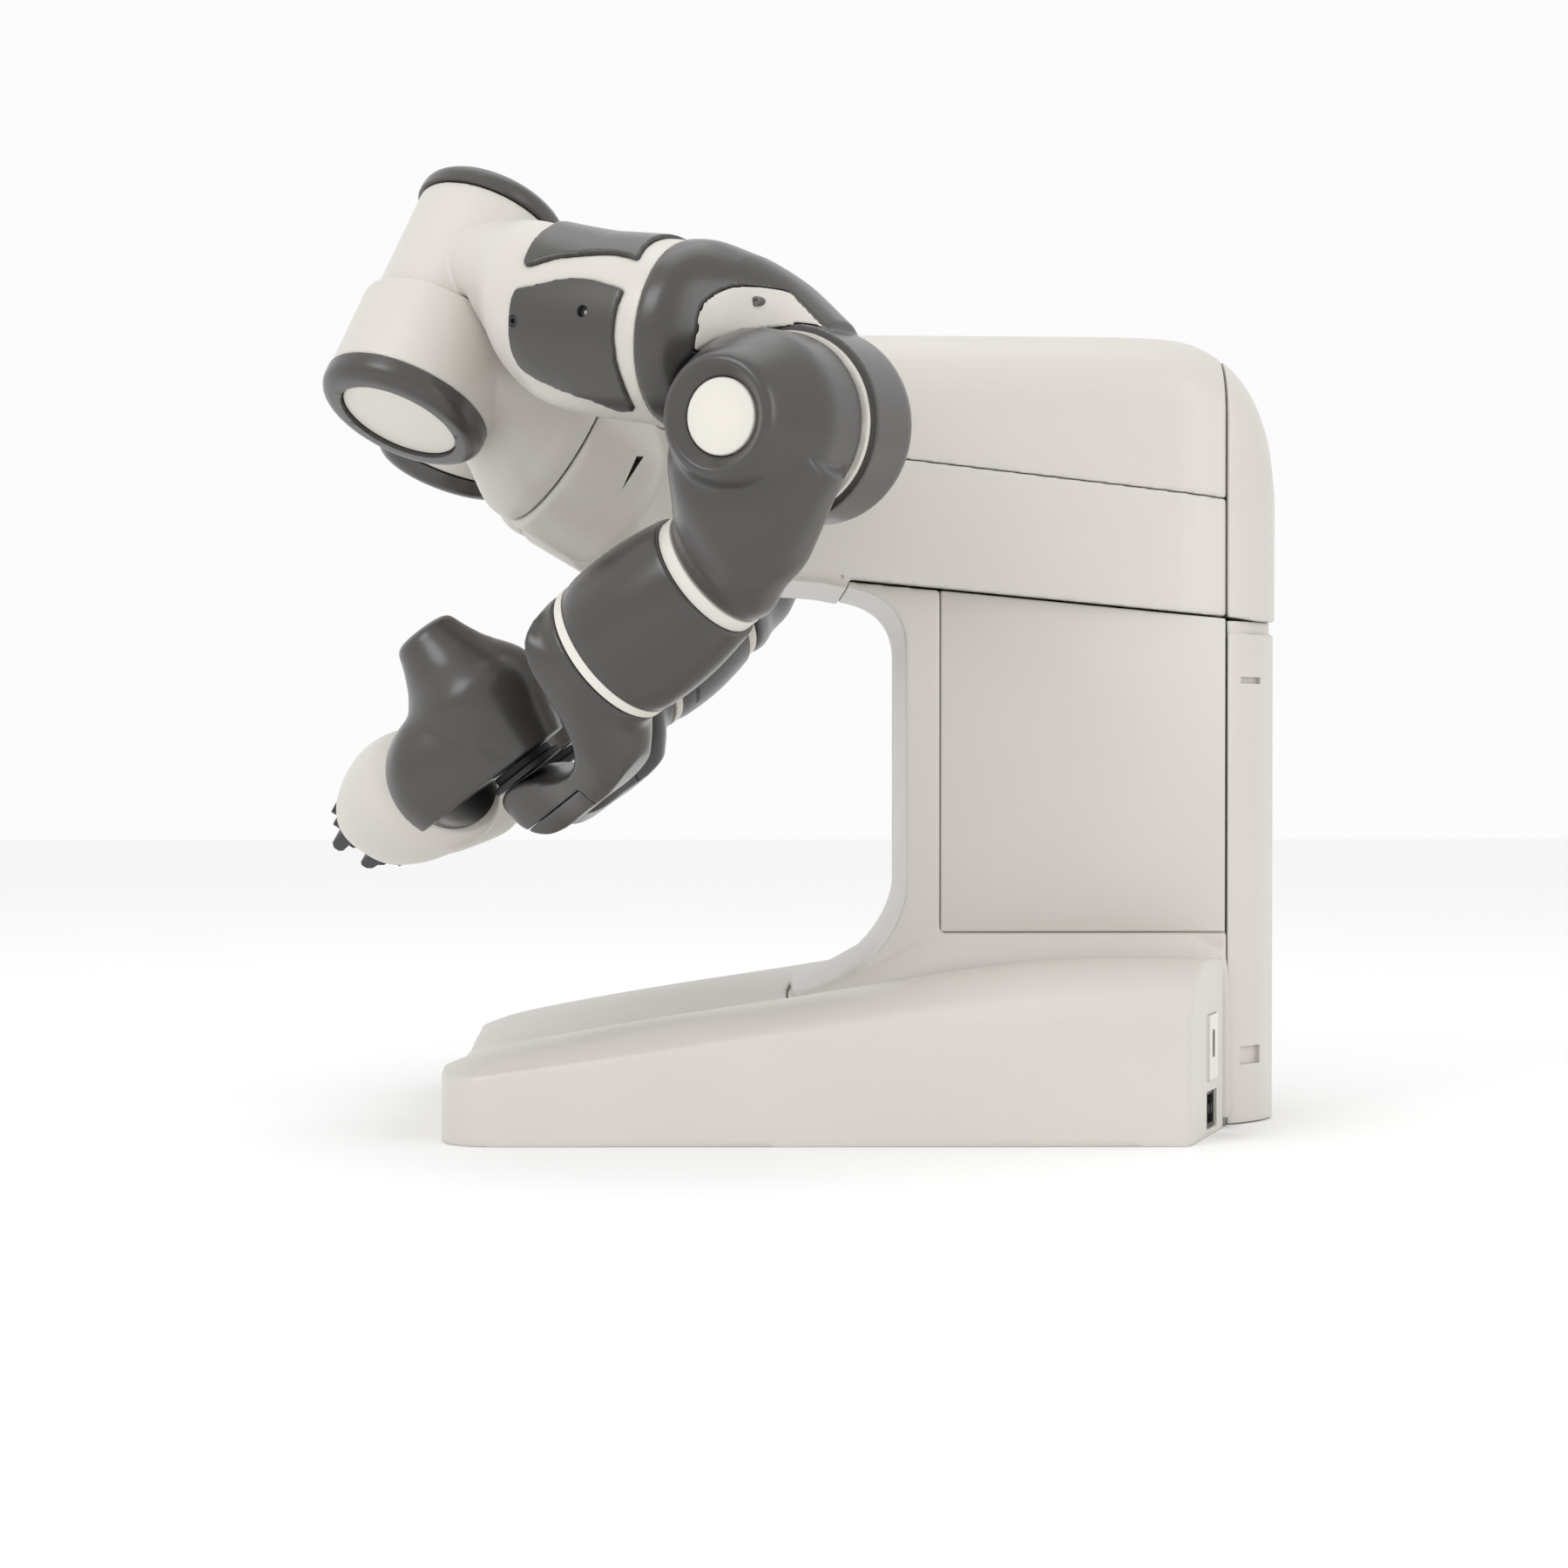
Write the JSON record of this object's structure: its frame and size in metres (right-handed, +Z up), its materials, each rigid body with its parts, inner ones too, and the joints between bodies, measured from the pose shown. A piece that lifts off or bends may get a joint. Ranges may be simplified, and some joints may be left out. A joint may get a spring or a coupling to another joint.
{
  "type": "dual-arm collaborative robot",
  "caption": "Table-top collaborative robot: a light torso on a wide foot carries a pair of jointed seven-axis arms with two-finger grippers.",
  "frame": {"origin": "middle of the robot's base frame, on the underside of the mounting plate that stands on the table", "axes": "+X forward, the way the arms reach; +Y to the robot's left; +Z up"},
  "size_m": [0.577, 0.7092, 0.5673],
  "materials": {
    "light_shell": "satin moulded shell, light warm grey",
    "dark_shell": "satin moulded shell, dark warm grey",
    "cream_trim": "matt cream trim",
    "black_plastic": "matt black plastic",
    "motor_metal": "machined aluminium",
    "base_metal": "painted plate"
  },
  "bodies": {
    "torso": {"mounting_plate": "base_metal", "foot_shell": "light_shell", "column_shell": "light_shell", "side_panel_left": "light_shell", "side_panel_right": "light_shell", "shoulder_casting": "light_shell", "top_cover": "light_shell", "rear_cover_top": "light_shell", "rear_cover_bottom": "light_shell", "control_unit": "black_plastic", "power_supply": "motor_metal", "switch_plate": "cream_trim"},
    "left_shoulder": {"shoulder_shell_left": "light_shell", "shoulder_ring_left": "dark_shell", "shoulder_disc_left": "cream_trim", "shoulder_motor_left": "motor_metal"},
    "left_upper_arm": {"upper_arm_shell_left": "light_shell", "upper_arm_cap_left": "dark_shell", "upper_arm_pad_outer_left": "dark_shell", "upper_arm_pad_top_left": "dark_shell"},
    "left_elbow_link": {"elbow_hook_left": "dark_shell", "elbow_ring_left": "cream_trim", "elbow_liner_left": "light_shell"},
    "left_forearm": {"elbow_shell_left": "dark_shell", "elbow_disc_left": "cream_trim", "forearm_ring_left": "cream_trim", "forearm_drum_left": "dark_shell", "wrist_ring_left": "cream_trim"},
    "left_wrist_link": {"wrist_hook_left": "dark_shell", "wrist_hook_cover_left": "dark_shell", "wrist_motor_left": "motor_metal"},
    "left_wrist": {"wrist_housing_left": "dark_shell"},
    "left_gripper": {"tool_flange_left": "motor_metal", "gripper_housing_left": "light_shell"},
    "left_finger_a": {"finger_a_left": "black_plastic"},
    "left_finger_b": {"finger_b_left": "black_plastic"},
    "right_shoulder": {"shoulder_shell_right": "light_shell", "shoulder_ring_right": "dark_shell", "shoulder_disc_right": "cream_trim", "shoulder_motor_right": "motor_metal"},
    "right_upper_arm": {"upper_arm_shell_right": "light_shell", "upper_arm_cap_right": "dark_shell", "upper_arm_pad_outer_right": "dark_shell", "upper_arm_pad_top_right": "dark_shell"},
    "right_elbow_link": {"elbow_hook_right": "dark_shell", "elbow_ring_right": "cream_trim", "elbow_liner_right": "light_shell"},
    "right_forearm": {"elbow_shell_right": "dark_shell", "elbow_disc_right": "cream_trim", "forearm_ring_right": "cream_trim", "forearm_drum_right": "dark_shell", "wrist_ring_right": "cream_trim"},
    "right_wrist_link": {"wrist_hook_right": "dark_shell", "wrist_hook_cover_right": "dark_shell", "wrist_motor_right": "motor_metal"},
    "right_wrist": {"wrist_housing_right": "dark_shell"},
    "right_gripper": {"tool_flange_right": "motor_metal", "gripper_housing_right": "light_shell"},
    "right_finger_a": {"finger_a_right": "black_plastic"},
    "right_finger_b": {"finger_b_right": "black_plastic"}
  },
  "joints": [
    {"name": "left_shoulder_turn", "type": "hinge", "parent": "torso", "child": "left_shoulder", "pos_m": [0.05355, 0.0725, 0.41492], "axis": [0.8138, 0.342, 0.4698], "range_deg": [-8, 76]},
    {"name": "left_shoulder_lift", "type": "hinge", "parent": "left_shoulder", "child": "left_upper_arm", "pos_m": [0.12108, 0.13284, 0.46686], "axis": [0.3529, 0.3514, -0.8672], "range_deg": [-13, 150]},
    {"name": "left_arm_roll", "type": "hinge", "parent": "left_upper_arm", "child": "left_elbow_link", "pos_m": [-0.01612, 0.24149, 0.45505], "axis": [-0.8585, 0.4902, -0.1507], "range_deg": [-200, 25]},
    {"name": "left_elbow_bend", "type": "hinge", "parent": "left_elbow_link", "child": "left_forearm", "pos_m": [-0.07907, 0.2755, 0.40182], "axis": [-0.5007, -0.8647, 0.0397], "range_deg": [-20, 10]},
    {"name": "left_forearm_roll", "type": "hinge", "parent": "left_forearm", "child": "left_wrist_link", "pos_m": [0.01918, 0.21295, 0.27865], "axis": [0.7164, -0.4397, -0.5417], "range_deg": [-180, 180]},
    {"name": "left_wrist_bend", "type": "hinge", "parent": "left_wrist_link", "child": "left_wrist", "pos_m": [0.08172, 0.14455, 0.23156], "axis": [-0.605, -0.005, -0.7962], "range_deg": [-70, 95]},
    {"name": "left_tool_turn", "type": "hinge", "parent": "left_wrist", "child": "left_gripper", "pos_m": [0.11247, 0.13555, 0.20825], "axis": [0.4467, -0.8299, -0.3343], "range_deg": [-180, 180]},
    {"name": "left_finger_a_slide", "type": "slide", "parent": "left_gripper", "child": "left_finger_a", "axis": [0.8145, 0.2226, 0.5358], "range_m": [-0.005, 0.019]},
    {"name": "left_finger_b_slide", "type": "slide", "parent": "left_gripper", "child": "left_finger_b", "axis": [-0.8145, -0.2226, -0.5358], "range_m": [-0.005, 0.019]},
    {"name": "right_shoulder_turn", "type": "hinge", "parent": "torso", "child": "right_shoulder", "pos_m": [0.05355, -0.0725, 0.41492], "axis": [-0.8138, 0.342, -0.4698], "range_deg": [-8, 76]},
    {"name": "right_shoulder_lift", "type": "hinge", "parent": "right_shoulder", "child": "right_upper_arm", "pos_m": [0.12108, -0.13284, 0.46686], "axis": [-0.3529, 0.3514, 0.8672], "range_deg": [-13, 150]},
    {"name": "right_arm_roll", "type": "hinge", "parent": "right_upper_arm", "child": "right_elbow_link", "pos_m": [-0.01612, -0.24149, 0.45505], "axis": [0.8585, 0.4902, 0.1507], "range_deg": [-200, 25]},
    {"name": "right_elbow_bend", "type": "hinge", "parent": "right_elbow_link", "child": "right_forearm", "pos_m": [-0.07907, -0.2755, 0.40182], "axis": [0.5007, -0.8647, -0.0397], "range_deg": [-20, 10]},
    {"name": "right_forearm_roll", "type": "hinge", "parent": "right_forearm", "child": "right_wrist_link", "pos_m": [0.01918, -0.21295, 0.27865], "axis": [-0.7164, -0.4397, 0.5417], "range_deg": [-180, 180]},
    {"name": "right_wrist_bend", "type": "hinge", "parent": "right_wrist_link", "child": "right_wrist", "pos_m": [0.08172, -0.14455, 0.23156], "axis": [0.605, -0.005, 0.7962], "range_deg": [-70, 95]},
    {"name": "right_tool_turn", "type": "hinge", "parent": "right_wrist", "child": "right_gripper", "pos_m": [0.11247, -0.13555, 0.20825], "axis": [-0.4467, -0.8299, 0.3343], "range_deg": [-180, 180]},
    {"name": "right_finger_a_slide", "type": "slide", "parent": "right_gripper", "child": "right_finger_a", "axis": [0.8145, -0.2226, 0.5358], "range_m": [-0.005, 0.019]},
    {"name": "right_finger_b_slide", "type": "slide", "parent": "right_gripper", "child": "right_finger_b", "axis": [-0.8145, 0.2226, -0.5358], "range_m": [-0.005, 0.019]}
  ],
  "couplings": [
    {"joint": "left_finger_b_slide", "follows": "left_finger_a_slide", "ratio": 1},
    {"joint": "right_finger_b_slide", "follows": "right_finger_a_slide", "ratio": 1}
  ]
}
